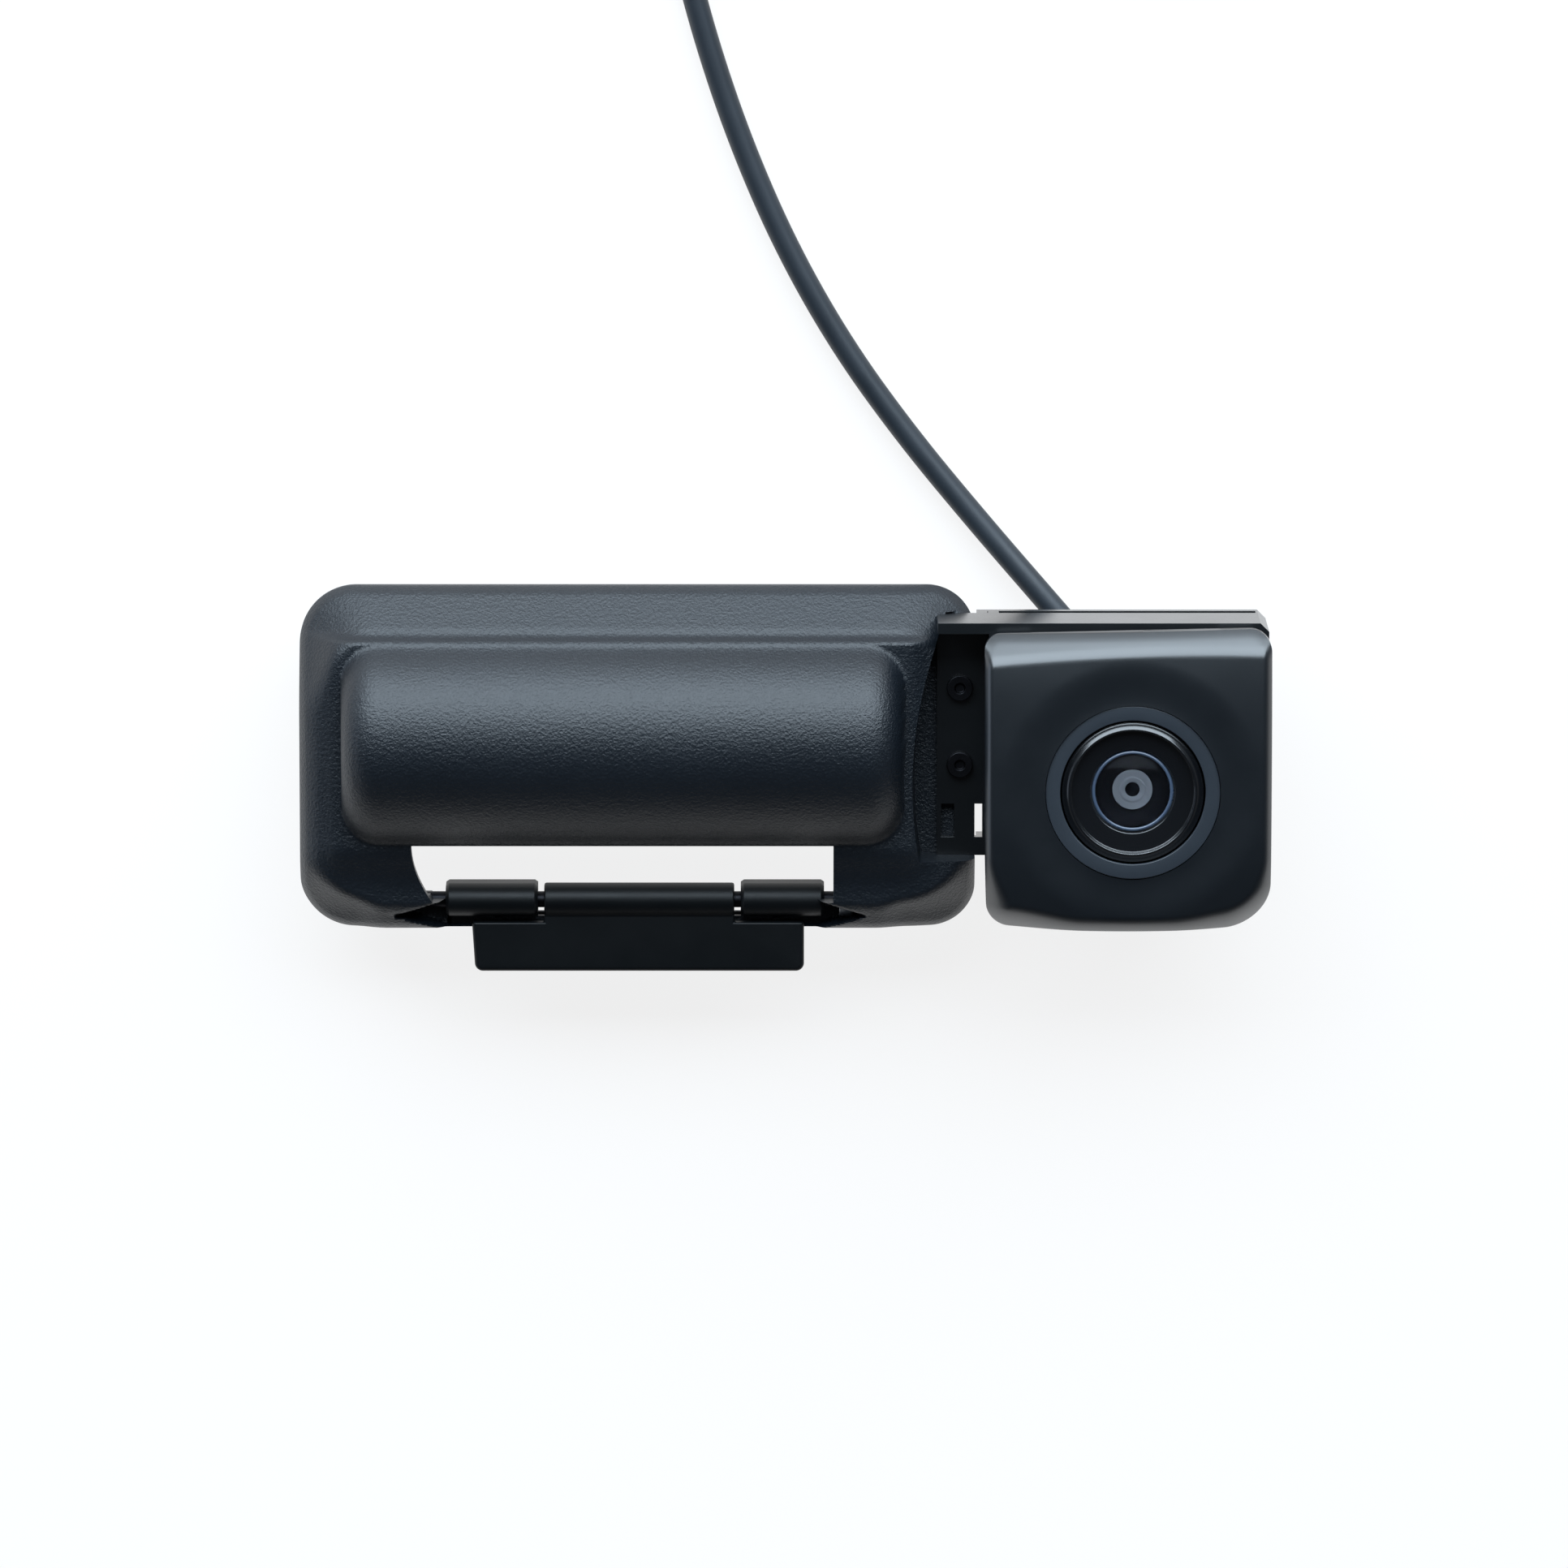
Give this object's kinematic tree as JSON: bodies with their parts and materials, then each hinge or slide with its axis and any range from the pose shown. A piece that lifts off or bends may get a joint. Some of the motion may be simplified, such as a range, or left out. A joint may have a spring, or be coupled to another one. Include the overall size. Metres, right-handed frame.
{
  "type": "tailgate handle with backup camera",
  "caption": "Black tailgate handle bezel with a finger slot and sprung release paddle, and a square tilting camera head beside it on a short cable.",
  "frame": {"origin": "under the middle of the part without its free cable, at the ends of the mounting studs it rests on", "axes": "+Z outboard, the way the lens looks; +Y up as fitted to the door; +X towards the camera end"},
  "size_m": [0.1785, 0.2521, 0.0435],
  "materials": {
    "grained_black": "grained moulding",
    "satin_black": "satin moulding",
    "head_black": "fine satin",
    "gloss_black": "polished",
    "trim_grey": "anodised satin",
    "lens_glass": "coated glass",
    "barrel_alloy": "black anodised",
    "aperture_grey": "matt",
    "sensor_chip": "moulded package",
    "circuit_board": "solder mask",
    "contact_brass": "plated",
    "zinc_steel": "zinc plated",
    "spring_steel": "drawn wire",
    "black_steel": "black oxide",
    "washer_nylon": "natural nylon",
    "soft_rubber": "matt",
    "seal_foam": "closed cell foam",
    "seal_orange": "silicone",
    "cable_jacket": "satin jacket",
    "tie_strap": "satin",
    "plug_plastic": "satin moulding"
  },
  "bodies": {
    "mount": {"handle_bezel": "grained_black", "bezel_gasket": "seal_foam", "mounting_studs": "zinc_steel", "paddle_spring": "spring_steel", "camera_carrier": "satin_black", "carrier_screws": "black_steel", "pivot_washers": "washer_nylon", "cable_outlet": "satin_black", "outlet_screws": "black_steel", "strain_relief": "soft_rubber", "camera_cable": "cable_jacket", "cable_coil": "cable_jacket", "cable_tail": "cable_jacket", "coil_tie": "tie_strap", "plug_body": "plug_plastic", "plug_seal": "seal_orange", "plug_pins": "contact_brass"},
    "paddle": {"release_paddle": "satin_black", "hinge_pin": "zinc_steel", "release_crank": "zinc_steel", "spring_collar": "zinc_steel", "paddle_bumpers": "soft_rubber"},
    "camera_head": {"head_housing": "head_black", "head_rear_cover": "satin_black", "head_seal": "soft_rubber", "head_screws": "black_steel", "pivot_screws": "black_steel", "lens_trim_ring": "trim_grey", "lens_retainer": "gloss_black", "lens_seal": "soft_rubber", "lens_front_element": "lens_glass", "lens_barrel": "barrel_alloy", "aperture_ring": "aperture_grey", "lens_rear_element": "lens_glass", "lens_holder": "satin_black", "holder_screws": "zinc_steel", "image_sensor": "sensor_chip", "sensor_board": "circuit_board", "board_header": "satin_black", "main_board": "circuit_board", "board_spacers": "contact_brass", "board_screws": "zinc_steel", "board_chips": "sensor_chip", "head_lead": "cable_jacket", "lead_grommet": "soft_rubber"}
  },
  "joints": [
    {"name": "paddle_pull", "type": "hinge", "parent": "mount", "child": "paddle", "pos_m": [-0.02675, -0.0225, 0.0203], "axis": [-1, 0, 0], "range_deg": [0, 25], "stiffness_Nm_per_rad": 0.06, "springref_deg": -20.05},
    {"name": "head_tilt", "type": "hinge", "parent": "mount", "child": "camera_head", "pos_m": [0.06325, 0.0025, 0.025], "axis": [1, 0, 0], "range_deg": [-3, 8]}
  ]
}
